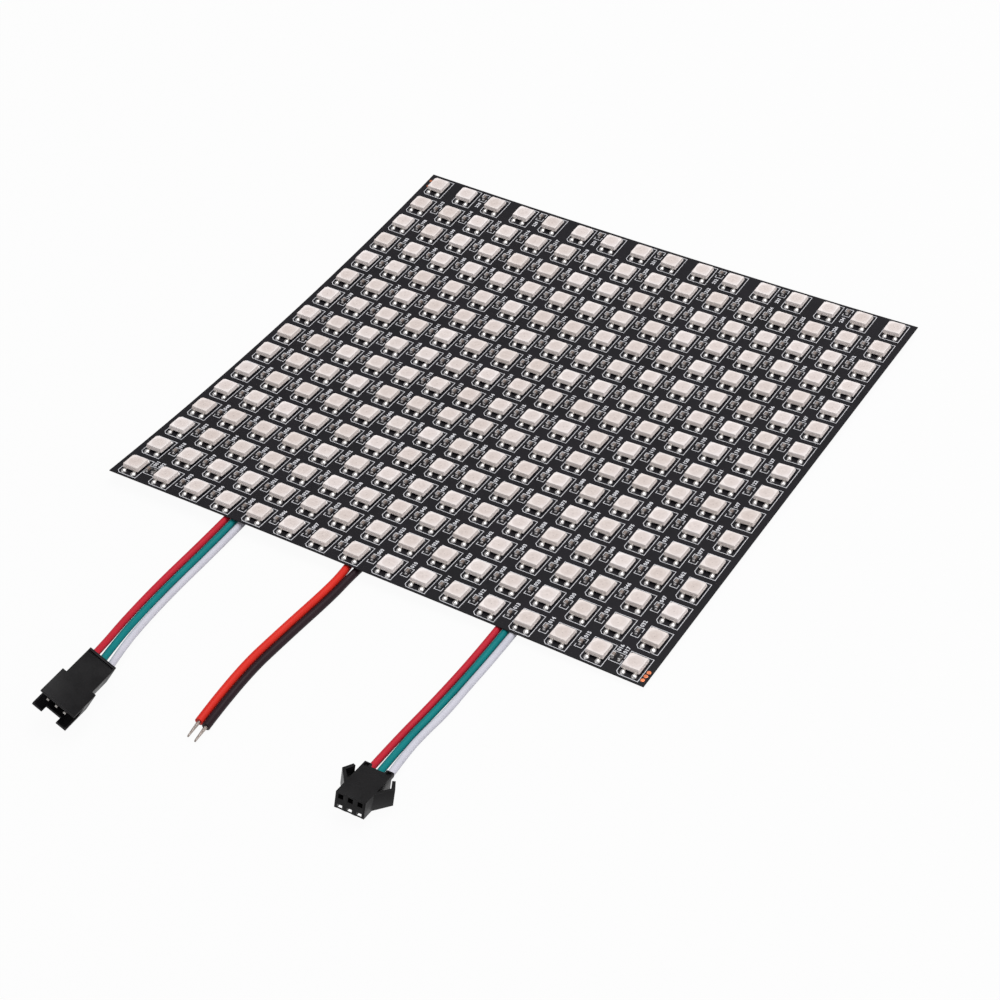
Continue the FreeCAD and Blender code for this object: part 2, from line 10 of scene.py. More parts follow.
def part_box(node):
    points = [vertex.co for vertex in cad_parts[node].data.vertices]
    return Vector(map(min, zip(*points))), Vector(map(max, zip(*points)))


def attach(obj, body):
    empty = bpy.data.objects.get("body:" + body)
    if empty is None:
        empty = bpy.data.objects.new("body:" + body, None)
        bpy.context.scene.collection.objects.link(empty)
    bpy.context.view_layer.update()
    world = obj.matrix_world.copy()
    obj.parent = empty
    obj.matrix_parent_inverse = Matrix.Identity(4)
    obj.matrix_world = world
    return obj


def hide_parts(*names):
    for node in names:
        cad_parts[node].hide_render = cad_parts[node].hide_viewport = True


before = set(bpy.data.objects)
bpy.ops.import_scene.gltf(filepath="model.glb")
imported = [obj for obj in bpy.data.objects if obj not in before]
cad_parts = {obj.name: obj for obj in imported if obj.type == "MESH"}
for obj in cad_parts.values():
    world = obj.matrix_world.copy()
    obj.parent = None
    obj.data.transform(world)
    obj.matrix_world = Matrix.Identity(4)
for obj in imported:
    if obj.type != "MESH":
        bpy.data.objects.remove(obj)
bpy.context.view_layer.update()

# The dressed look of a flexible LED dot matrix, in metres. Small patterns are drawn in millimetres
# and scaled as they are stamped onto the film.
MM = 0.001
COLUMNS = 16
ROWS = 16
PITCH = 10 * MM
GRID_START = -(COLUMNS - 1) / 2 * PITCH
GAP_MIDDLE = PITCH / 2
PIECES_SEED = 16


# Film height, read from the film's own solid

film_low, film_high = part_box("flex_circuit")
HALF_WIDTH = film_high.x
HALF_DEPTH = film_high.y
FRONT_EDGE = film_low.y
FILM_THICKNESS = 0.3 * MM
SLOPE_STEP = 0.5 * MM
# A face of the solid lies on the film's top if its normal rises by more than this
UPWARD = 0.5


def powers(x, y):
    """The nine terms of a surface that is quadratic both ways."""
    u = x / HALF_WIDTH
    v = y / HALF_DEPTH
    return [u ** i * v ** j for i in range(3) for j in range(3)]


def fit_film():
    """The nine factors of the film's top, fitted to the solid's upward faces."""
    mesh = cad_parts["flex_circuit"].data
    used = {n for face in mesh.polygons if face.normal.z > UPWARD for n in face.vertices}
    places = [mesh.vertices[n].co for n in used]
    terms = np.array([powers(p.x, p.y) for p in places])
    heights = np.array([p.z for p in places])
    return np.linalg.lstsq(terms, heights, rcond=None)[0]


FILM_FACTORS = fit_film()


def film_height(x, y):
    return float(np.dot(FILM_FACTORS, powers(x, y)))


def film_normal(x, y):
    slope_x = (film_height(x + SLOPE_STEP, y) - film_height(x - SLOPE_STEP, y)) / (2 * SLOPE_STEP)
    slope_y = (film_height(x, y + SLOPE_STEP) - film_height(x, y - SLOPE_STEP)) / (2 * SLOPE_STEP)
    return Vector((-slope_x, -slope_y, 1)).normalized()


def on_film(x, y, lift=0.0):
    """The transform that stands a pattern drawn in millimetres on the film at x, y."""
    turn = Vector((0, 0, 1)).rotation_difference(film_normal(x, y)).to_matrix().to_4x4()
    place = Matrix.Translation((x, y, film_height(x, y) + lift))
    return place @ turn @ Matrix.Scale(MM, 4)


# Mesh helpers

def new_piece(name, mesh, materials, slot, *nodes):
    """An object that rides with the part, takes the given materials and stands for nodes, which it hides. The
    slot is not used.
    """
    piece = bpy.data.objects.new(name, mesh)
    bpy.context.scene.collection.objects.link(piece)
    for material in materials:
        mesh.materials.append(material)
    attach(piece, "root")
    if nodes:
        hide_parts(*nodes)
    return piece


def to_mesh(bm, name):
    """A mesh of the drawn faces, each as smooth or flat as it is."""
    mesh = bpy.data.meshes.new(name)
    bm.to_mesh(mesh)
    bm.free()
    return mesh


def finish_mesh(bm, name, smooth=True):
    """A mesh of the drawn faces, all made smooth or all flat."""
    mesh = to_mesh(bm, name)
    for face in mesh.polygons:
        face.use_smooth = smooth
    return mesh


def sharpen(mesh, degrees=35):
    """Keeps edges sharper than the angle crisp."""
    mesh.set_sharp_from_angle(angle=math.radians(degrees))
    return mesh


def ring_points(reach_x, reach_y, height, sides, centre=(0, 0)):
    """Points round an ellipse at one height."""
    ring = []
    for n in range(sides):
        turn = 2 * math.pi * n / sides
        ring.append((centre[0] + reach_x * math.cos(turn), centre[1] + reach_y * math.sin(turn), height))
    return ring


def skin_rings(bm, rings, looks, close_end=True):
    """Quads between closed rings of points, one look for each band, and caps at the ends."""
    loops = [[bm.verts.new(point) for point in ring] for ring in rings]
    count = len(loops[0])
    for lower, upper, look in zip(loops, loops[1:], looks):
        for n in range(count):
            corners = (lower[n], lower[(n + 1) % count], upper[(n + 1) % count], upper[n])
            bm.faces.new(corners).material_index = look
    bm.faces.new(loops[0][::-1]).material_index = looks[0]
    if close_end:
        bm.faces.new(loops[-1]).material_index = looks[-1]


def add_block(bm, centre, spans, rounding, look):
    """A box with rounded edges."""
    before = set(bm.faces)
    shape = Matrix.Translation(centre) @ Matrix.Diagonal((*spans, 1))
    made = bmesh.ops.create_cube(bm, size=1, matrix=shape)
    edges = list({edge for vert in made["verts"] for edge in vert.link_edges})
    bmesh.ops.bevel(bm, geom=edges, offset=rounding, segments=1, affect="EDGES")
    for face in bm.faces:
        if face not in before:
            face.material_index = look


# Where the foot of a drop of solder starts, in millimetres from what carries it
MOUND_FOOT = -0.03


def add_mound(bm, centre, reach, look, sides=12, levels=4, foot=MOUND_FOOT):
    """A low rounded drop of solder."""
    rings = []
    for level in range(levels):
        climb = math.pi / 2 * level / levels
        width = math.cos(climb)
        height = foot + (reach[2] - foot) * math.sin(climb)
        rings.append(ring_points(reach[0] * width, reach[1] * width, height, sides, centre))
    skin_rings(bm, rings, [look] * levels, close_end=False)
    bm.verts.ensure_lookup_table()
    top = bm.verts.new((centre[0], centre[1], reach[2]))
    last = bm.verts[-1 - sides:-1]
    for n in range(sides):
        bm.faces.new((last[n], last[(n + 1) % sides], top)).material_index = look


def stamp(target, pattern, transform, tone=None):
    """Adds a copy of a pattern mesh, with one tone value on all its points."""
    if tone is not None and not target.verts.layers.float.get("tone"):
        target.verts.layers.float.new("tone")
    start = len(target.verts)
    target.from_mesh(pattern)
    target.verts.ensure_lookup_table()
    added = target.verts[start:]
    bmesh.ops.transform(target, matrix=transform, verts=added)
    if tone is not None:
        layer = target.verts.layers.float.get("tone")
        for vert in added:
            vert[layer] = tone


# Materials

def colour(red, green, blue):
    """A colour given as 0 to 255 values, made linear by the sRGB curve as the shader takes it."""
    def level(value):
        share = value / 255
        return share / 12.92 if share <= 0.04045 else ((share + 0.055) / 1.055) ** 2.4
    return (level(red), level(green), level(blue), 1.0)


def new_material(name, **constants):
    """A material and its shader, with the values that are the same all over it."""
    material = bpy.data.materials.new(name)
    material.use_nodes = True
    shader = material.node_tree.nodes["Principled BSDF"]
    for key, value in constants.items():
        shader.inputs[key.replace("_", " ")].default_value = value
    return material, shader


def add_node(material, kind, **values):
    node = material.node_tree.nodes.new("ShaderNode" + kind)
    for key, value in values.items():
        node.inputs[key.replace("_", " ")].default_value = value
    return node


def join(material, source, socket):
    material.node_tree.links.new(source, socket)


def feed(material, value, socket):
    """Links an output to a socket, or sets a plain value there."""
    if isinstance(value, bpy.types.NodeSocket):
        join(material, value, socket)
    else:
        socket.default_value = value


def combine(material, operation, first, second):
    """Two numbers or outputs put through one operation."""
    node = add_node(material, "Math")
    node.operation = operation
    feed(material, first, node.inputs[0])
    feed(material, second, node.inputs[1])
    return node.outputs["Value"]


def noise(material, scale, detail, roughness=0.55, stretch=None):
    """Noise in the part's own space, stretched along an axis if asked."""
    texture = add_node(material, "TexNoise", Scale=scale, Detail=detail, Roughness=roughness)
    source = add_node(material, "TexCoord").outputs["Object"]
    if stretch:
        mapping = add_node(material, "Mapping", Scale=stretch)
        join(material, source, mapping.inputs["Vector"])
        source = mapping.outputs["Vector"]
    join(material, source, texture.inputs["Vector"])
    return texture.outputs["Fac"]


def ramp(material, source, stops):
    """A colour ramp with the given places and colours."""
    node = add_node(material, "ValToRGB")
    elements = node.color_ramp.elements
    while len(elements) < len(stops):
        elements.new(0.5)
    for element, (place, value) in zip(elements, stops):
        element.position = place
        element.color = value
    join(material, source, node.inputs["Fac"])
    return node.outputs["Color"]


def fade(material, source, start, end, at_start, at_end):
    """A number that goes from one value to another while the source goes from start to end."""
    node = add_node(material, "MapRange", From_Min=start, From_Max=end, To_Min=at_start, To_Max=at_end)
    join(material, source, node.inputs["Value"])
    return node.outputs["Result"]


# The range that noise mostly keeps to
NOISE_LOW = 0.3
NOISE_HIGH = 0.7


def shades(material, source, deep_shade, shade):
    """A colour that goes from a deep shade to a lighter one as the noise rises."""
    return ramp(material, source, ((NOISE_LOW, deep_shade), (NOISE_HIGH, shade)))


def spread(material, source, low, high):
    """A number that goes from low to high as the noise rises."""
    return fade(material, source, NOISE_LOW, NOISE_HIGH, low, high)


def mix(material, factor, first, second, blend="MIX"):
    """Two colours or outputs mixed by a number or an output."""
    node = add_node(material, "MixRGB")
    node.blend_type = blend
    for value, socket in ((factor, "Fac"), (first, "Color1"), (second, "Color2")):
        feed(material, value, node.inputs[socket])
    return node.outputs["Color"]


def bumps(material, shader, source, depth, strength):
    node = add_node(material, "Bump", Strength=strength, Distance=depth)
    join(material, source, node.inputs["Height"])
    join(material, node.outputs["Normal"], shader.inputs["Normal"])


WHITE = colour(255, 255, 255)
CREAM = colour(243, 240, 237)
SATIN_GLOSS = 0.18


def tone_tint(material):
    """White, or nearer cream on a piece whose tone is low."""
    node = add_node(material, "Attribute")
    node.attribute_name = "tone"
    return ramp(material, node.outputs["Fac"], ((0.0, CREAM), (1.0, WHITE)))


def film_material():
    """Black cover film, satin, with the faint grain of the cloth and copper under it."""
    material, shader = new_material("black_cover_film", Specular_IOR_Level=SATIN_GLOSS)
    patches = noise(material, scale=55, detail=4)
    grain = noise(material, scale=2600, detail=2, roughness=0.7)
    base = shades(material, patches, colour(17, 16, 21), colour(28, 25, 31))
    speckle = ramp(material, grain, ((0.35, colour(225, 225, 230)), (0.75, WHITE)))
    join(material, mix(material, 1.0, base, speckle, "MULTIPLY"), shader.inputs["Base Color"])
    join(material, spread(material, patches, low=0.42, high=0.6), shader.inputs["Roughness"])
    bumps(material, shader, grain, depth=0.02 * MM, strength=0.6)
    return material


def film_edge_material():
    """The cut edge, where the brown core of the film just shows."""
    material, shader = new_material("film_cut_edge", Roughness=0.6, Specular_IOR_Level=SATIN_GLOSS)
    streaks = noise(material, scale=900, detail=3)
    base = shades(material, streaks, colour(26, 23, 24), colour(46, 40, 39))
    join(material, base, shader.inputs["Base Color"])
    return material


def print_material():
    """White legend ink, a little uneven."""
    material, shader = new_material("legend_ink", Roughness=0.55)
    blotches = noise(material, scale=1800, detail=3)
    base = shades(material, blotches, colour(196, 196, 202), colour(230, 230, 234))
    join(material, base, shader.inputs["Base Color"])
    bumps(material, shader, blotches, depth=0.01 * MM, strength=0.5)
    return material


def plastic_material(name, shade, deep_shade, roughness):
    """Moulded plastic whose tone drifts a little from piece to piece."""
    material, shader = new_material(name)
    cloud = noise(material, scale=260, detail=3)
    base = shades(material, cloud, deep_shade, shade)
    toned = mix(material, 1.0, base, tone_tint(material), "MULTIPLY")
    join(material, toned, shader.inputs["Base Color"])
    gloss = spread(material, cloud, low=roughness - 0.06, high=roughness + 0.06)
    join(material, gloss, shader.inputs["Roughness"])
    bumps(material, shader, noise(material, scale=1500, detail=2), depth=0.01 * MM, strength=0.5)
    return material


# Shadows of the chips below the window: place along X and Y, reach and depth. Places and reaches are
# shares of the window's radius, and the radius is half of its map.
CHIP_SHADOWS = ((0.06, -0.16, 0.085, 0.55), (-0.3, 0.26, 0.16, 0.1), (0.34, 0.22, 0.14, 0.08))
CHIP_SHADE = colour(150, 140, 136)
MAP_RADIUS = 0.5
RIM_START = 0.28
RIM_END = 0.49
RIM_SHARE = 0.75


def map_distance(material, spot, along=0.0, across=0.0):
    """How far each point of the window's map lies from a place given in shares of the radius."""
    node = add_node(material, "VectorMath")
    node.operation = "DISTANCE"
    join(material, spot, node.inputs[0])
    node.inputs[1].default_value = (MAP_RADIUS + along * MAP_RADIUS, MAP_RADIUS + across * MAP_RADIUS, 0)
    return node.outputs["Value"]


def window_material():
    """Milky silicone, with the chips below it as faint shadows and a paler rim."""
    material, shader = new_material("milky_window", Roughness=0.32, Specular_IOR_Level=0.5)
    spot = add_node(material, "UVMap").outputs["UV"]
    chip_shadows = None
    for along, across, reach, depth in CHIP_SHADOWS:
        away = map_distance(material, spot, along, across)
        edge = reach * MAP_RADIUS
        shadow = fade(material, away, edge / 2, edge, depth, 0.0)
        if chip_shadows is None:
            chip_shadows = shadow
        else:
            chip_shadows = combine(material, "ADD", chip_shadows, shadow)
    rim = fade(material, map_distance(material, spot), RIM_START, RIM_END, 0.0, RIM_SHARE)
    cloud = noise(material, scale=1100, detail=4)
    middle = shades(material, cloud, colour(216, 204, 200), colour(229, 218, 214))
    base = mix(material, rim, middle, colour(232, 222, 220))
    toned = mix(material, 1.0, base, tone_tint(material), "MULTIPLY")
    join(material, mix(material, chip_shadows, toned, CHIP_SHADE), shader.inputs["Base Color"])
    return material


def metal_material(name, shade, deep_shade, roughness, grain_scale=900):
    """Dull metal, cloudy at a fine scale."""
    material, shader = new_material(name, Metallic=1.0)
    cloud = noise(material, scale=grain_scale, detail=3)
    join(material, shades(material, cloud, deep_shade, shade), shader.inputs["Base Color"])
    gloss = spread(material, cloud, low=roughness - 0.08, high=roughness + 0.1)
    join(material, gloss, shader.inputs["Roughness"])
    bumps(material, shader, cloud, depth=0.02 * MM, strength=0.5)
    return material


def insulation_material(name, shade, deep_shade):
    """Soft coloured insulation, very faintly scuffed along its length."""
    material, shader = new_material(name, Specular_IOR_Level=0.15)
    cloud = noise(material, scale=160, detail=4)
    scuffs = noise(material, scale=500, detail=3, roughness=0.6, stretch=(1.0, 0.12, 1.0))
    join(material, shades(material, cloud, deep_shade, shade), shader.inputs["Base Color"])
    join(material, spread(material, scuffs, low=0.38, high=0.52), shader.inputs["Roughness"])
    bumps(material, shader, scuffs, depth=0.02 * MM, strength=0.1)
    return material


def housing_material(name, shade, deep_shade, roughness):
    """Black moulded nylon: satin, cloudy and finely textured."""
    material, shader = new_material(name, Specular_IOR_Level=SATIN_GLOSS)
    cloud = noise(material, scale=300, detail=4)
    grain = noise(material, scale=4200, detail=3, roughness=0.7)
    join(material, shades(material, cloud, deep_shade, shade), shader.inputs["Base Color"])
    gloss = spread(material, cloud, low=roughness - 0.08, high=roughness + 0.08)
    join(material, gloss, shader.inputs["Roughness"])
    bumps(material, shader, grain, depth=0.02 * MM, strength=0.7)
    return material


# The looks. Plastic, metal and nylon take a shade, a deep shade and a roughness, and insulation two shades
FILM = film_material()
FILM_EDGE = film_edge_material()
PRINT = print_material()
LED_CASE = plastic_material("led_case", colour(243, 235, 233), colour(236, 227, 225), 0.42)
# Dark plastic for the case's lowest bands: painted shade under the overhang, as the case itself is white all
# round
LED_FOOT_PAINTED_SHADE = plastic_material("led_foot", colour(40, 34, 33), colour(28, 24, 24), 0.6)
LED_WINDOW = window_material()
SOLDER = metal_material("solder", colour(240, 237, 236), colour(205, 203, 203), 0.36)
LEAD_METAL = metal_material("lead_metal", colour(228, 222, 216), colour(208, 202, 196), 0.36)
CERAMIC = plastic_material("chip_ceramic", colour(146, 133, 127), colour(122, 110, 104), 0.45)
CHIP_END = metal_material("chip_end", colour(206, 204, 204), colour(158, 155, 156), 0.42)
RESISTOR_TOP = plastic_material("resistor_top", colour(34, 32, 34), colour(26, 25, 27), 0.4)
RESISTOR_BODY = plastic_material("resistor_body", colour(222, 220, 216), colour(208, 205, 200), 0.5)
COPPER = metal_material("bare_copper", colour(226, 140, 100), colour(204, 112, 78), 0.34)
DATA_RED = insulation_material("data_red", colour(195, 37, 55), colour(186, 32, 49))
DATA_GREEN = insulation_material("data_green", colour(9, 127, 129), colour(6, 118, 121))
DATA_WHITE = insulation_material("data_white", colour(207, 206, 217), colour(199, 198, 209))
POWER_RED = insulation_material("power_red", colour(222, 48, 36), colour(211, 41, 31))
POWER_BLACK = insulation_material("power_black", colour(44, 26, 33), colour(34, 19, 26))
NYLON = housing_material("black_nylon", colour(19, 18, 20), colour(12, 11, 13), 0.42)
# Paler nylon for the rounded edges of the housings: a painted highlight along them
NYLON_EDGE_HIGHLIGHT = housing_material("nylon_painted_edge_highlight", colour(46, 44, 46), colour(30, 28, 30), 0.36)
CONTACT = metal_material("tinned_contact", colour(176, 172, 168), colour(140, 136, 132), 0.42)
STRAND = metal_material("tinned_strand", colour(186, 176, 170), colour(156, 146, 140), 0.42, grain_scale=1500)


# Film

FILM_CELLS = 96
EDGE_ROUNDING = 0.06 * MM
COVER, CUT_EDGE = range(2)


def make_film():
    """The film as one closed skin, its rim slightly rounded."""
    bm = bmesh.new()

    def sheet(lift):
        """A grid of points at a height over the top, drawn in at its rim."""
        rows = []
        for j in range(FILM_CELLS + 1):
            row = []
            for i in range(FILM_CELLS + 1):
                x = (2 * i / FILM_CELLS - 1) * (HALF_WIDTH - EDGE_ROUNDING)
                y = (2 * j / FILM_CELLS - 1) * (HALF_DEPTH - EDGE_ROUNDING)
                row.append(bm.verts.new((x, y, film_height(x, y) + lift)))
            rows.append(row)
        return rows

    def rim(rows):
        """A grid's outermost points, counted round from its front left corner."""
        last = FILM_CELLS
        front = rows[0][:last]
        right = [row[last] for row in rows[:last]]
        rear = rows[last][:0:-1]
        left = [row[0] for row in rows[:0:-1]]
        return front + right + rear + left

    def fill(rows, upward):
        for lower, upper in zip(rows, rows[1:]):
            for n in range(FILM_CELLS):
                corners = [lower[n], lower[n + 1], upper[n + 1], upper[n]]
                bm.faces.new(corners if upward else corners[::-1])

    def outline(lift):
        """The film's outermost line at a height over the top, counted round as the rim is."""
        steps = [2 * n / FILM_CELLS - 1 for n in range(FILM_CELLS)]
        way_round = [(s, -1) for s in steps] + [(1, s) for s in steps]
        way_round += [(-s, 1) for s in steps] + [(-1, -s) for s in steps]
        points = []
        for u, v in way_round:
            x = u * HALF_WIDTH
            y = v * HALF_DEPTH
            points.append(bm.verts.new((x, y, film_height(x, y) + lift)))
        return points

    top = sheet(0.0)
    foot = sheet(-FILM_THICKNESS)
    fill(top, True)
    fill(foot, False)
    loops = [
        rim(top), outline(-EDGE_ROUNDING), outline(EDGE_ROUNDING - FILM_THICKNESS), rim(foot),
    ]
    count = len(loops[0])
    for upper, lower in zip(loops, loops[1:]):
        for n in range(count):
            after = (n + 1) % count
            face = bm.faces.new((lower[n], lower[after], upper[after], upper[n]))
            face.material_index = CUT_EDGE if upper is loops[1] else COVER
    mesh = sharpen(finish_mesh(bm, "film"))
    return new_piece("film_sheet", mesh, (FILM, FILM_EDGE), "film", "flex_circuit")


make_film()


# Legend on the film, drawn in millimetres from each LED's middle

INK_WIDTH = 0.17
INK_RISE = 0.03
MITRE_LIMIT = 0.3
LED_FRAME = ((-3.05, 3.95), (-3.05, -3.55), (-2.3, -4.32), (3.03, -4.32), (3.03, 3.95))
# The two brackets round a chip part: where their arms end and their backs lie along Y
LOWER_LEFT_ARM = -0.35
LOWER_RIGHT_ARM = 0.05
LOWER_BACK = -1.3
UPPER_ARMS = 0.75
UPPER_BACK = 2.15
BRACKET_HALF = 1.02
PAIRED_BRACKET_HALF = 1.6
REAR_CLUSTER_SHIFT = 1.65
NUMBER_HEIGHT = 1.0
NUMBER_STEP = 0.8
NUMBER_PLACE = 3.7
REAR_NUMBER_PLACE = -1.6
PAIRED_SPREAD = 0.85
# A figure's height as a share of the font's size, and how much its strokes are thickened
FIGURE_SHARE = 0.7
FIGURE_WEIGHT = 0.055


def add_line(bm, points, looped=False):
    """A printed line of even width with mitred corners, as a thin closed bar."""
    spots = [Vector(point) for point in points]
    count = len(spots)
    sides = []
    for n, spot in enumerate(spots):
        before = spots[n - 1] if looped or n > 0 else None
        after = spots[(n + 1) % count] if looped or n < count - 1 else None
        directions = []
        if before is not None:
            directions.append((spot - before).normalized())
        if after is not None:
            directions.append((after - spot).normalized())
        middle = sum(directions, Vector((0, 0))).normalized()
        across = Vector((-middle.y, middle.x))
        share = max(MITRE_LIMIT, abs(across.dot(Vector((-directions[0].y, directions[0].x)))))
        reach = across * (INK_WIDTH / 2 / share)
        sides.append((spot + reach, spot - reach))
    verts = []
    for left, right in sides:
        verts.append([
            bm.verts.new((left.x, left.y, INK_RISE)), bm.verts.new((right.x, right.y, INK_RISE)),
            bm.verts.new((right.x, right.y, -INK_RISE)), bm.verts.new((left.x, left.y, -INK_RISE)),
        ])
    pairs = list(zip(verts, verts[1:])) + ([(verts[-1], verts[0])] if looped else [])
    for first, second in pairs:
        for n in range(4):
            bm.faces.new((first[n], first[(n + 1) % 4], second[(n + 1) % 4], second[n]))
    if not looped:
        bm.faces.new(verts[0][::-1])
        bm.faces.new(verts[-1])


def bracket_lines(half):
    """The lower and the upper bracket round a chip part, from the gap's middle."""
    lower = ((-half, LOWER_LEFT_ARM), (-half, LOWER_BACK), (half, LOWER_BACK), (half, LOWER_RIGHT_ARM))
    upper = ((-half, UPPER_ARMS), (-half, UPPER_BACK), (half, UPPER_BACK), (half, UPPER_ARMS))
    return lower, upper


def pattern_mesh(name, draw):
    """A flat-faced pattern whose faces all look outwards."""
    bm = bmesh.new()
    draw(bm)
    bmesh.ops.recalc_face_normals(bm, faces=bm.faces)
    return finish_mesh(bm, name, smooth=False)


def digit_mesh(digit):
    """A plain figure that reads towards the rear, about its own middle."""
    curve = bpy.data.curves.new("digit", "FONT")
    curve.body = str(digit)
    curve.size = NUMBER_HEIGHT / FIGURE_SHARE
    curve.extrude = INK_RISE
    curve.offset = FIGURE_WEIGHT
    curve.resolution_u = 2
    curve.align_x = "CENTER"
    curve.align_y = "CENTER"
    writing = bpy.data.objects.new("digit", curve)
    mesh = bpy.data.meshes.new_from_object(writing)
    mesh.transform(Matrix.Rotation(math.pi / 2, 4, "Z"))
    bpy.data.objects.remove(writing)
    bpy.data.curves.remove(curve)
    return mesh


def stamp_number(bm, digits, number, x, y):
    """A three-figure number whose middle is at x, y."""
    for place, figure in enumerate("%03d" % number):
        stamp(bm, digits[int(figure)], on_film(x, y + (place - 1) * NUMBER_STEP * MM))


def grid_place(index):
    return GRID_START + index * PITCH


def cluster_gaps(row):
    """Each gap of a row that holds chip parts, with its kind: single, paired or rear."""
    gaps = []
    for gap in range(COLUMNS - 1):
        if row == ROWS - 1:
            if gap % 2:
                gaps.append((gap, "rear"))
        elif row == 0 and gap in (0, COLUMNS - 2):
            gaps.append((gap, "paired"))
        else:
            gaps.append((gap, "single"))
    return gaps


def make_legend():
    """The frame round each LED, the brackets and the numbers, one piece for each row."""
    frame_pattern = pattern_mesh("led_frame", lambda bm: add_line(bm, LED_FRAME, looped=True))

    def brackets(half, shift):
        def draw(bm):
            for line in bracket_lines(half):
                add_line(bm, [(x, y + shift) for x, y in line])
        return pattern_mesh("brackets", draw)

    patterns = {
        "single": brackets(BRACKET_HALF, 0.0),
        "paired": brackets(PAIRED_BRACKET_HALF, 0.0),
        "rear": brackets(BRACKET_HALF, REAR_CLUSTER_SHIFT),
    }
    digits = [digit_mesh(n) for n in range(10)]
    number = 0
    for row in range(ROWS):
        y = grid_place(row)
        bm = bmesh.new()
        for column in range(COLUMNS):
            stamp(bm, frame_pattern, on_film(grid_place(column), y))
        for gap, kind in cluster_gaps(row):
            x = grid_place(gap) + GAP_MIDDLE
            stamp(bm, patterns[kind], on_film(x, y))
            along = REAR_NUMBER_PLACE if kind == "rear" else NUMBER_PLACE
            across = (-PAIRED_SPREAD, PAIRED_SPREAD) if kind == "paired" else (0,)
            for shift in across:
                number += 1
                stamp_number(bm, digits, number, x + shift * MM, y + along * MM)
        mesh = finish_mesh(bm, "legend", smooth=False)
        new_piece("legend_row_%02d" % (row + 1), mesh, (PRINT,), "film")


make_legend()


# Bare copper pads at the film's corners

PADS = (
    # x, y and diameter in millimetres
    (78.78, -78.18, 1.15), (78.84, -76.70, 1.15), (78.94, -75.28, 1.15),
    (-78.94, 76.82, 1.0), (-78.44, 74.31, 1.0),
)
PAD_SIDES = 20
PAD_RISE = 0.02
# Heights of a pad's rings and their shares of its width
PAD_LEVELS = ((-PAD_RISE, 1.0), (PAD_RISE / 2, 1.0), (PAD_RISE, 0.9))


def make_pads():
    bm = bmesh.new()
    for x, y, across in PADS:
        pattern = bmesh.new()
        rings = []
        for height, share in PAD_LEVELS:
            radius = across / 2 * share
            rings.append(ring_points(radius, radius, height, PAD_SIDES))
        skin_rings(pattern, rings, [0] * len(rings))
        stamp(bm, finish_mesh(pattern, "pad"), on_film(x * MM, y * MM))
    new_piece("copper_pads", finish_mesh(bm, "pads", smooth=False), (COPPER,), "tinned_copper")


make_pads()


# LEDs, drawn in millimetres

LED_HALF = 2.5
LED_HEIGHT = 1.6
CASE, SHADED_FOOT, WINDOW, LEAD, TIN = range(5)
CORNER_ROUNDING = 0.22
PIN_CORNER_CUT = 0.5
WINDOW_RADIUS = 1.98
# Each level of the case: height, half width and look of the band above it
# The lowest bands take the foot look, which is painted shade under the overhang
CASE_LEVELS = (
    (0.10, 2.08, SHADED_FOOT), (0.36, 2.20, SHADED_FOOT), (0.37, 2.20, CASE), (0.40, 2.45, CASE),
    (0.45, LED_HALF, CASE), (0.82, LED_HALF, CASE), (0.86, 2.47, CASE), (0.86, 2.30, CASE),
    (1.00, 2.30, CASE), (1.01, 2.42, CASE), (1.42, 2.36, CASE), (1.52, 2.33, CASE),
    (1.58, 2.29, CASE), (LED_HEIGHT, 2.22, CASE),
)
# Each level of the window: height, share of its radius and look of the band above it
WINDOW_LEVELS = (
    (LED_HEIGHT, 1.0, CASE), (1.582, 0.985, WINDOW), (1.586, 0.90, WINDOW), (1.592, 0.45, WINDOW),
)
ARC_POINTS = 5
SIDE_POINTS = 5
RING_POINTS = 4 * (ARC_POINTS + SIDE_POINTS)
LEAD_PLACE = 1.5
LEAD_WIDTH = 0.9
# A lead's upright and its foot: distance from the LED's middle, height, size and rounding
LEAD_BLOCKS = (
    (LED_HALF, 0.46, (LEAD_WIDTH, 0.24, 0.72), 0.05),
    (2.76, 0.14, (LEAD_WIDTH, 0.62, 0.22), 0.06),
)
# Where the solder lies and how far it reaches, at the front leads and at the rear ones
SOLDER_AT = {-1: (3.2, (0.74, 1.0, 0.56)), 1: (3.05, (0.7, 0.74, 0.46))}
SOLDER_SCATTER = 0.08
SOLDER_SIZES = (0.9, 1.1)
LED_VARIANTS = 6
LED_SCATTER = 0.05
LED_SWING = 0.7
PART_LIFT = 0.05 * MM


def led_ring(half, height):
    """Points round a square with rounded corners, its rear left corner cut off."""
    points = []
    reaches = (CORNER_ROUNDING, PIN_CORNER_CUT, CORNER_ROUNDING, CORNER_ROUNDING)
    for quarter in range(4):
        reach = reaches[quarter]
        following = reaches[(quarter + 1) % 4]
        corner = []
        for n in range(ARC_POINTS):
            share = n / (ARC_POINTS - 1)
            if reach == PIN_CORNER_CUT:
                corner.append((half - reach * share, half - reach * (1 - share)))
            else:
                turn = share * math.pi / 2
                middle = half - reach
                corner.append((middle + reach * math.cos(turn), middle + reach * math.sin(turn)))
        start = half - reach
        end = -(half - following)
        for n in range(SIDE_POINTS):
            share = (n + 1) / (SIDE_POINTS + 1)
            corner.append((start + (end - start) * share, half))
        turned = Matrix.Rotation(quarter * math.pi / 2, 2)
        points += [(*(turned @ Vector(point)), height) for point in corner]
    return points


def window_ring(share, height):
    """Points round the window, counted from the same place as those round the case."""
    radius = WINDOW_RADIUS * share
    ring = []
    for n in range(RING_POINTS):
        turn = 2 * math.pi * (n - ARC_POINTS // 2) / RING_POINTS + math.pi / 4
        ring.append((radius * math.cos(turn), radius * math.sin(turn), height))
    return ring


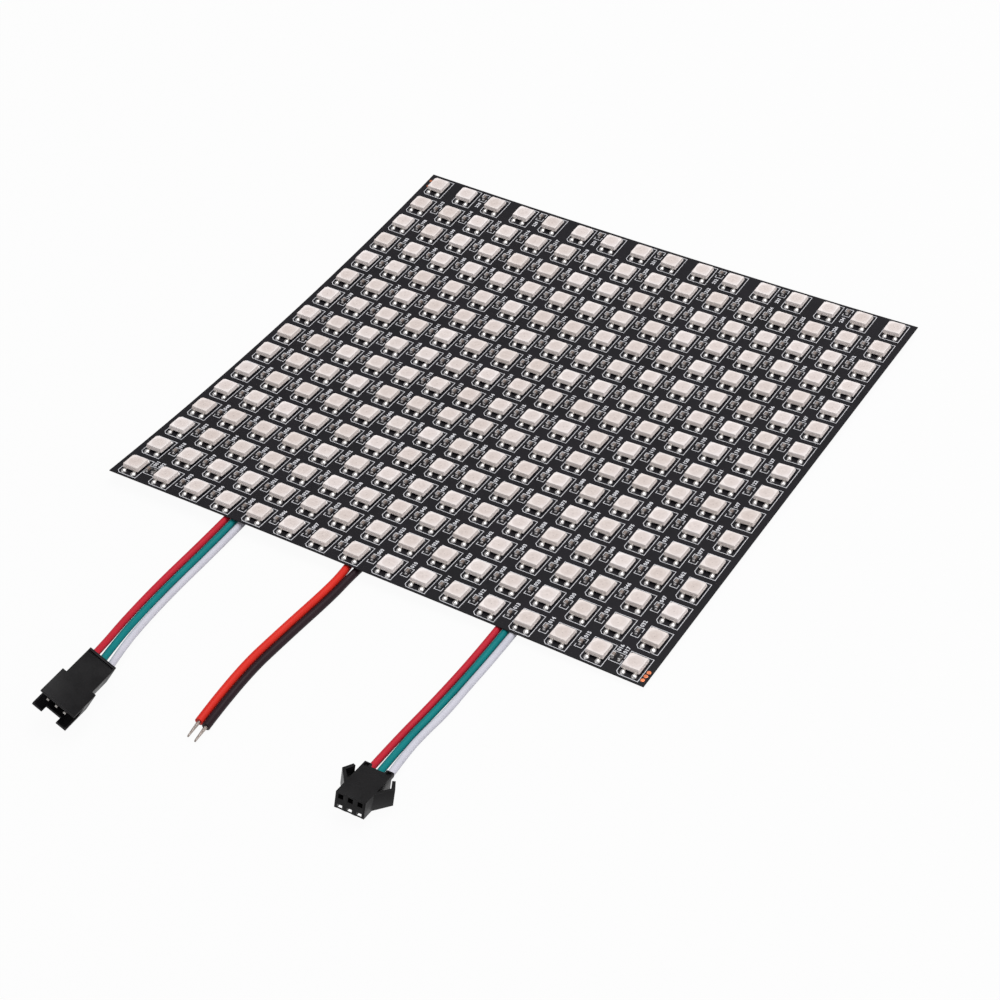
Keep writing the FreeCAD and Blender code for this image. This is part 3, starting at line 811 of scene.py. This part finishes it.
def led_mesh(name, chance):
    """One LED with its four leads and solder fillets, slightly different each time."""
    bm = bmesh.new()
    rings = [led_ring(half, height) for height, half, _ in CASE_LEVELS]
    rings += [window_ring(share, height) for height, share, _ in WINDOW_LEVELS]
    looks = [look for _, _, look in CASE_LEVELS] + [look for _, _, look in WINDOW_LEVELS]
    skin_rings(bm, rings, looks)
    for side in (-1, 1):
        solder_place, solder_reach = SOLDER_AT[side]
        for place in (-LEAD_PLACE, LEAD_PLACE):
            for away, height, spans, rounding in LEAD_BLOCKS:
                add_block(bm, (place, side * away, height), spans, rounding, LEAD)
            middle = (
                place + chance.uniform(-SOLDER_SCATTER, SOLDER_SCATTER),
                side * (solder_place + chance.uniform(-SOLDER_SCATTER, SOLDER_SCATTER)),
            )
            reach = [share * chance.uniform(*SOLDER_SIZES) for share in solder_reach]
            add_mound(bm, middle, reach, TIN)
    layer = bm.loops.layers.uv.new("UVMap")
    for face in bm.faces:
        for loop in face.loops:
            spot = loop.vert.co
            loop[layer].uv = (0.5 + spot.x / (2 * WINDOW_RADIUS), 0.5 + spot.y / (2 * WINDOW_RADIUS))
    return sharpen(finish_mesh(bm, name))


def make_led_rows():
    """The LEDs of each row as one piece, each placed and turned a little off."""
    chance = random.Random(PIECES_SEED)
    variants = [led_mesh("led_%d" % n, chance) for n in range(LED_VARIANTS)]
    looks = (LED_CASE, LED_FOOT_PAINTED_SHADE, LED_WINDOW, LEAD_METAL, SOLDER)
    for row in range(ROWS):
        bm = bmesh.new()
        for column in range(COLUMNS):
            x = grid_place(column) + chance.gauss(0, LED_SCATTER) * MM
            y = grid_place(row) + chance.gauss(0, LED_SCATTER) * MM
            swing = Matrix.Rotation(math.radians(chance.gauss(0, LED_SWING)), 4, "Z")
            transform = on_film(x, y, PART_LIFT) @ swing
            stamp(bm, chance.choice(variants), transform, chance.random())
        node = "led_row_%02d" % (row + 1)
        new_piece(node + "_dressed", to_mesh(bm, "row"), looks, "led", node)


make_led_rows()


# Chip parts, drawn in millimetres

CHIP_LENGTH = 1.6
CHIP_WIDTH = 0.8
CAPACITOR_HEIGHT = 0.8
RESISTOR_HEIGHT = 0.45
CAPACITOR_END = 0.32
RESISTOR_END = 0.3
# How much narrower, shorter and lower than its ends the body is
BODY_INSETS = (0.06, 0.2, 0.04)
BODY_ROUNDING = 0.03
TOP_NARROWER = 0.08
TOP_SINK = 0.02
TOP_THICKNESS = 0.05
TOP_ROUNDING = 0.015
END_ROUNDING = 0.06
# The solder at a chip's ends: its reach along X and Y, its share of the height, and where it lies
CHIP_SOLDER_REACH = (0.48, 0.36)
CHIP_SOLDER_CLIMB = 0.55
CHIP_SOLDER_OUT = 0.02
CHIP_SCATTER = 0.04
CHIP_SWING = 2.0
CHIP_ACROSS = 0.45
REAR_CHIP_ACROSS = 2.1
PAIRED_CAPACITOR_SHIFT = -1.1
PAIRED_RESISTOR_SHIFT = 0.7
BODY, CAP, TOP = range(3)


def chip_mesh(name, height, cap_length, has_top):
    """A chip part along Y: its body, two tinned ends and the solder that climbs them."""
    bm = bmesh.new()
    narrower, shorter, lower = BODY_INSETS
    spans = (CHIP_WIDTH - narrower, CHIP_LENGTH - shorter, height - lower)
    add_block(bm, (0, 0, height / 2), spans, BODY_ROUNDING, BODY)
    if has_top:
        spans = (CHIP_WIDTH - TOP_NARROWER, CHIP_LENGTH - 2 * cap_length, TOP_THICKNESS)
        add_block(bm, (0, 0, height - TOP_SINK), spans, TOP_ROUNDING, TOP)
    for side in (-1, 1):
        middle = side * (CHIP_LENGTH - cap_length) / 2
        add_block(bm, (0, middle, height / 2), (CHIP_WIDTH, cap_length, height), END_ROUNDING, CAP)
        place = (0, side * (CHIP_LENGTH / 2 + CHIP_SOLDER_OUT))
        reach = (*CHIP_SOLDER_REACH, CHIP_SOLDER_CLIMB * height)
        add_mound(bm, place, reach, CAP, sides=10, levels=3)
    return sharpen(finish_mesh(bm, name))


def make_chips():
    """The capacitors of each row as one piece, and all the resistors as another."""
    chance = random.Random(PIECES_SEED + 1)
    capacitor = chip_mesh("capacitor", CAPACITOR_HEIGHT, CAPACITOR_END, False)
    resistor = chip_mesh("resistor", RESISTOR_HEIGHT, RESISTOR_END, True)

    def seat(bm, pattern, x, y):
        x += chance.gauss(0, CHIP_SCATTER) * MM
        y += chance.gauss(0, CHIP_SCATTER) * MM
        swing = Matrix.Rotation(math.radians(chance.gauss(0, CHIP_SWING)), 4, "Z")
        stamp(bm, pattern, on_film(x, y, PART_LIFT) @ swing, chance.random())

    resistors = bmesh.new()
    for row in range(ROWS):
        bm = bmesh.new()
        for gap, kind in cluster_gaps(row):
            x = grid_place(gap) + GAP_MIDDLE
            y = grid_place(row) + (REAR_CHIP_ACROSS if kind == "rear" else CHIP_ACROSS) * MM
            if kind == "paired":
                seat(resistors, resistor, x + PAIRED_RESISTOR_SHIFT * MM, y)
                x += PAIRED_CAPACITOR_SHIFT * MM
            seat(bm, capacitor, x, y)
        node = "capacitor_row_%02d" % (row + 1)
        new_piece(node + "_dressed", to_mesh(bm, "row"), (CERAMIC, CHIP_END), "capacitor", node)
    looks = (RESISTOR_BODY, CHIP_END, RESISTOR_TOP)
    new_piece("data_resistors_dressed", to_mesh(resistors, "row"), looks, "resistor", "data_resistors")


make_chips()


# Leads: the routes in metres, with Y measured from the film's front edge

DATA_DIAMETER = 1.86 * MM
POWER_DIAMETER = 2.15 * MM
ROUTES = {
    "pin_lead_red": (
        (-0.04250, 0.00310, 0.00212), (-0.04213, -0.00950, 0.00240), (-0.04243, -0.02750, 0.00232),
        (-0.04093, -0.04375, 0.00350), (-0.03890, -0.05375, 0.00495), (-0.03743, -0.06096, 0.00659),
    ),
    "pin_lead_green": (
        (-0.04020, 0.00310, 0.00210), (-0.04033, -0.00950, 0.00168), (-0.04063, -0.02750, 0.00160),
        (-0.03913, -0.04375, 0.00280), (-0.03705, -0.05375, 0.00415), (-0.03526, -0.06088, 0.00534),
    ),
    "pin_lead_white": (
        (-0.03790, 0.00310, 0.00208), (-0.03850, -0.00950, 0.00105), (-0.03882, -0.02750, 0.00095),
        (-0.03728, -0.04375, 0.00205), (-0.03498, -0.05375, 0.00336), (-0.03310, -0.06079, 0.00409),
    ),
    "latch_lead_red": (
        (0.03938, 0.00300, 0.00097), (0.03970, -0.01000, 0.00098), (0.03917, -0.02800, 0.00098),
        (0.03802, -0.04450, 0.00097), (0.03918, -0.05805, 0.00341),
    ),
    "latch_lead_green": (
        (0.04150, 0.00300, 0.00097), (0.04175, -0.01000, 0.00096), (0.04122, -0.02800, 0.00096),
        (0.04007, -0.04450, 0.00095), (0.04166, -0.05788, 0.00321),
    ),
    "latch_lead_white": (
        (0.04360, 0.00300, 0.00097), (0.04372, -0.01000, 0.00096), (0.04345, -0.02000, 0.00096),
        (0.04348, -0.03000, 0.00096), (0.04264, -0.03720, 0.00096), (0.04226, -0.04500, 0.00096),
        (0.04415, -0.05772, 0.00301),
    ),
    "power_lead_red": (
        (-0.00530, 0.00340, 0.00158), (-0.00464, -0.00150, 0.00162), (-0.00472, -0.00950, 0.00166),
        (-0.00617, -0.02600, 0.00166), (-0.00732, -0.04400, 0.00162), (-0.00562, -0.06095, 0.00133),
    ),
    "power_lead_black": (
        (-0.00190, 0.00340, 0.00156), (-0.00248, -0.00150, 0.00130), (-0.00258, -0.00950, 0.00112),
        (-0.00403, -0.02600, 0.00108), (-0.00518, -0.04400, 0.00110), (-0.00338, -0.06130, 0.00108),
    ),
}
INSULATION = {
    "data_red": DATA_RED, "data_green": DATA_GREEN, "data_white": DATA_WHITE,
    "power_red": POWER_RED, "power_black": POWER_BLACK,
}
LEAD_STEPS = 14
LEAD_ROUNDNESS = 7


def placed(route):
    """A route's points in the part's own space."""
    return [Vector((x, y + FRONT_EDGE, z)) for x, y, z in route]


def lead_diameter(name):
    return POWER_DIAMETER if name.startswith("power") else DATA_DIAMETER


def lead_slot(name):
    """The slot of a wire, from its lead and its colour."""
    lead, _, shade = name.split("_")
    return ("power_" if lead == "power" else "data_") + shade


def make_lead(name):
    """One insulated wire on a smooth line that its route controls."""
    slot = lead_slot(name)
    points = placed(ROUTES[name])
    curve = bpy.data.curves.new(name, "CURVE")
    curve.dimensions = "3D"
    spline = curve.splines.new("NURBS")
    spline.points.add(len(points) - 1)
    for control, point in zip(spline.points, points):
        control.co = (*point, 1.0)
    spline.order_u = 3
    spline.use_endpoint_u = True
    spline.resolution_u = LEAD_STEPS
    curve.bevel_depth = lead_diameter(name) / 2
    curve.bevel_resolution = LEAD_ROUNDNESS
    curve.use_fill_caps = True
    curve.materials.append(INSULATION[slot])
    lead = bpy.data.objects.new(name, curve)
    bpy.context.scene.collection.objects.link(lead)
    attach(lead, "root")
    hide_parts(name + "_wire")
    return lead


LEADS = {name: make_lead(name) for name in ROUTES}


# Tinned wire ends, drawn along the wire

STRANDS = 7
STRAND_TURNS = 1.6
STRAND_STEPS = 26
STRAND_SIDES = 8
STRAND_SHARE = 0.38
STRAND_STAGGER = 0.01
STRAND_TIP = 0.6
BARE_LENGTH = 5.2 * MM
BARE_RADIUS = 0.5 * MM
TIP_RADIUS = 0.26 * MM


def square_to(along):
    """A level direction and one above it, both square to the given one."""
    side = along.cross(Vector((0, 0, 1))).normalized()
    return side, side.cross(along)


def tube_along(bm, points, radii, sides):
    """A closed tube of varying radius through points."""
    rings = []
    for n, point in enumerate(points):
        before = points[max(n - 1, 0)]
        after = points[min(n + 1, len(points) - 1)]
        side, above = square_to((after - before).normalized())
        ring = []
        for k in range(sides):
            turn = 2 * math.pi * k / sides
            ring.append(point + (side * math.cos(turn) + above * math.sin(turn)) * radii[n])
        rings.append(ring)
    skin_rings(bm, rings, [0] * len(rings))


def make_bare_end(name):
    """Fine strands twisted together and tinned, slimmer towards the tip."""
    points = placed(ROUTES[name])
    start = points[-1]
    along = (start - points[-2]).normalized()
    side, above = square_to(along)
    bm = bmesh.new()
    for strand in range(STRANDS):
        path = []
        radii = []
        for step in range(STRAND_STEPS + 1):
            share = step / STRAND_STEPS
            reach = BARE_RADIUS + (TIP_RADIUS - BARE_RADIUS) * share
            own_radius = reach * STRAND_SHARE
            turn = 2 * math.pi * (strand / (STRANDS - 1) + STRAND_TURNS * share)
            distance = 0.0 if strand == STRANDS - 1 else reach - own_radius
            offset = side * math.cos(turn) + above * math.sin(turn)
            advance = along * BARE_LENGTH * share * (1 - STRAND_STAGGER * strand)
            path.append(start + advance + offset * distance)
            radii.append(own_radius * (1.0 if step < STRAND_STEPS else STRAND_TIP))
        tube_along(bm, path, radii, STRAND_SIDES)
    mesh = sharpen(finish_mesh(bm, name + "_end"), degrees=60)
    return new_piece(name + "_tinned_end", mesh, (STRAND,), "tinned_copper", name + "_bare_end")


BARE_ENDS = {name: make_bare_end(name) for name in ROUTES if name.startswith("power")}


# Solder joints under the film

JOINT_REACH = 2.6 * MM
JOINT_RISE = 1.1
JOINT_GAP = 0.05 * MM
# The core's radius and the drop's, as shares of the wire's diameter, and how much longer the drop is
CORE_SHARE = 0.25
DROP_SHARE = 0.62
DROP_STRETCH = 1.15
CORE_SIDES = 12
DROP_SIDES = 18
DROP_LEVELS = 6
UPSIDE_DOWN = Matrix.Rotation(math.pi, 4, "X")


def make_joints():
    """A drop of solder over each bared wire end, hanging from the film's underside."""
    bm = bmesh.new()
    for name, route in ROUTES.items():
        start, following = placed(route)[:2]
        core_end = start + (start - following).normalized() * JOINT_REACH
        core_radius = lead_diameter(name) * CORE_SHARE
        tube_along(bm, [start, core_end], [core_radius, core_radius], CORE_SIDES)
        radius = lead_diameter(name) / MM * DROP_SHARE
        reach = (radius, radius * DROP_STRETCH, JOINT_RISE)
        pattern = bmesh.new()
        add_mound(pattern, (0, 0), reach, 0, DROP_SIDES, DROP_LEVELS, foot=0.0)
        under = on_film(core_end.x, core_end.y, -FILM_THICKNESS - JOINT_GAP)
        stamp(bm, finish_mesh(pattern, "drop"), under @ UPSIDE_DOWN)
    mesh = sharpen(finish_mesh(bm, "joints"), degrees=50)
    new_piece("solder_drops", mesh, (SOLDER,), "solder", "solder_joints")


make_joints()


# Lead housings and contacts, with the moulded edges rounded

MERGE_DISTANCE = 0.001 * MM
# In degrees: faces that meet within the first angle are joined, and edges past the second are rounded
FLAT_WITHIN = 1
ROUNDED_PAST = 25
ROUNDING_STEPS = 2


def rounded_copy(name, node, rounding, looks, slot):
    """A copy of a node with rounded edges, which take the last of its looks."""
    bm = bmesh.new()
    bm.from_mesh(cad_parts[node].data)
    bmesh.ops.remove_doubles(bm, verts=bm.verts, dist=MERGE_DISTANCE)
    flat = math.radians(FLAT_WITHIN)
    bmesh.ops.dissolve_limit(bm, angle_limit=flat, verts=bm.verts, edges=bm.edges)
    mesh = finish_mesh(bm, name)
    piece = new_piece(name, mesh, looks, slot, node)
    bevel = piece.modifiers.new("rounding", "BEVEL")
    bevel.width = rounding
    bevel.segments = ROUNDING_STEPS
    bevel.material = len(looks) - 1
    bevel.limit_method = "ANGLE"
    bevel.angle_limit = math.radians(ROUNDED_PAST)
    bevel.harden_normals = True
    return piece


# The shells' rounded edges take the paler nylon, which is a painted highlight
SHELL_LOOKS = (NYLON, NYLON_EDGE_HIGHLIGHT)
METAL_LOOKS = (CONTACT,)
PIN_SHELL = rounded_copy(
    "pin_housing_shell", "pin_housing", 0.1 * MM, SHELL_LOOKS, "connector_plastic",
)
LATCH_SHELL = rounded_copy(
    "latch_housing_shell", "latch_housing", 0.12 * MM, SHELL_LOOKS, "connector_plastic",
)
PINS = rounded_copy(
    "contact_pins_dressed", "contact_pins", 0.1 * MM, METAL_LOOKS, "contact_metal",
)
SOCKETS = rounded_copy(
    "socket_contacts_dressed", "socket_contacts", 0.04 * MM, METAL_LOOKS, "contact_metal",
)

# The latch housing's own frame: the middle of its rear bottom edge, in metres, and its turns in degrees
LATCH_BASE = (41.31 * MM, -55.86 * MM + FRONT_EDGE, 0.42 * MM)
LATCH_YAW = 184.7
LATCH_PITCH = 12.4
LATCH_ROLL = -4.7
# The sill that closes the three slots at the mating face, in millimetres
SILL_CENTRE = (0, 13.24, 0.17)
SILL_SPANS = (7.4, 0.28, 0.3)
SILL_ROUNDING = 0.05


def make_sill():
    turn = Matrix.Identity(4)
    for degrees, axis in ((LATCH_YAW, "Z"), (LATCH_PITCH, "X"), (LATCH_ROLL, "Y")):
        turn = turn @ Matrix.Rotation(math.radians(degrees), 4, axis)
    place = Matrix.Translation(LATCH_BASE) @ turn @ Matrix.Scale(MM, 4)
    bm = bmesh.new()
    add_block(bm, SILL_CENTRE, SILL_SPANS, SILL_ROUNDING, 0)
    bmesh.ops.transform(bm, matrix=place, verts=bm.verts)
    mesh = finish_mesh(bm, "sill", smooth=False)
    return new_piece("latch_housing_sill", mesh, (NYLON,), "connector_plastic")


LEAD_ENDS = {"pin": [PIN_SHELL, PINS], "latch": [LATCH_SHELL, make_sill(), SOCKETS]}


# Floor, light and camera

FLOOR_REACH = 6.0
FLOOR_GREY = 0.6
# The share of plain white in the floor, for the camera and for what reflects it
FLOOR_GLOW = 0.95
SKY_LIGHT = 0.42
# Each lamp's name, place, side and power, in metres and watts
LAMPS = (
    ("overhead", (0.15, 0.35, 1.2), 1.0, 10.7),
    ("right_side", (1.1, 0.1, 0.55), 0.7, 3.0),
    ("front_fill", (-0.5, -1.2, 0.7), 0.8, 2.0),
)
# The camera's place in metres, its turn in degrees, and its lens and sensor in millimetres
CAMERA_PLACE = (0.27110, -0.43336, 0.40458)
CAMERA_TURN = (49.3802, 2.0974, 31.1439)
CAMERA_LENS = 86.19
CAMERA_SENSOR = 36


def make_floor():
    """A matte grey floor that the camera sees as nearly plain white, with faint shadows."""
    mesh = bpy.data.meshes.new("floor")
    reach = FLOOR_REACH
    corners = [(-reach, -reach, 0), (reach, -reach, 0), (reach, reach, 0), (-reach, reach, 0)]
    mesh.from_pydata(corners, [], [(0, 1, 2, 3)])
    floor = bpy.data.objects.new("floor", mesh)
    bpy.context.scene.collection.objects.link(floor)
    material = bpy.data.materials.new("floor")
    material.use_nodes = True
    material.node_tree.nodes.clear()
    matte = add_node(material, "BsdfDiffuse", Color=(FLOOR_GREY, FLOOR_GREY, FLOOR_GREY, 1))
    glow = add_node(material, "Emission", Color=WHITE, Strength=1.0)
    path = add_node(material, "LightPath")
    seen = combine(material, "MAXIMUM", path.outputs["Is Camera Ray"], path.outputs["Is Glossy Ray"])
    seen = combine(material, "MAXIMUM", seen, path.outputs["Is Transmission Ray"])
    share = combine(material, "MULTIPLY", seen, FLOOR_GLOW)
    blend = add_node(material, "MixShader")
    join(material, share, blend.inputs["Fac"])
    join(material, matte.outputs["BSDF"], blend.inputs[1])
    join(material, glow.outputs["Emission"], blend.inputs[2])
    output = add_node(material, "OutputMaterial")
    join(material, blend.outputs["Shader"], output.inputs["Surface"])
    mesh.materials.append(material)


def make_world():
    """White where the camera looks, soft grey light elsewhere."""
    world = bpy.data.worlds.new("studio")
    bpy.context.scene.world = world
    world.use_nodes = True
    world.node_tree.nodes.clear()
    path = add_node(world, "LightPath")
    strength = add_node(world, "MapRange", To_Min=SKY_LIGHT, To_Max=1.0)
    background = add_node(world, "Background", Color=WHITE)
    output = add_node(world, "OutputWorld")
    join(world, path.outputs["Is Camera Ray"], strength.inputs["Value"])
    join(world, strength.outputs["Result"], background.inputs["Strength"])
    join(world, background.outputs["Background"], output.inputs["Surface"])


def add_softbox(name, place, side, power):
    """A square area light that faces the middle of the part."""
    data = bpy.data.lights.new(name, "AREA")
    data.size = side
    data.energy = power
    lamp = bpy.data.objects.new(name, data)
    lamp.location = place
    lamp.rotation_euler = (-Vector(place)).to_track_quat("-Z", "Y").to_euler()
    bpy.context.scene.collection.objects.link(lamp)


def make_camera():
    data = bpy.data.cameras.new("camera")
    data.lens = CAMERA_LENS
    data.sensor_width = CAMERA_SENSOR
    camera = bpy.data.objects.new("camera", data)
    camera.location = CAMERA_PLACE
    camera.rotation_euler = [math.radians(degrees) for degrees in CAMERA_TURN]
    bpy.context.scene.collection.objects.link(camera)
    bpy.context.scene.camera = camera


make_floor()
make_world()
for lamp_values in LAMPS:
    add_softbox(*lamp_values)
make_camera()
bpy.context.scene.view_settings.view_transform = "Standard"
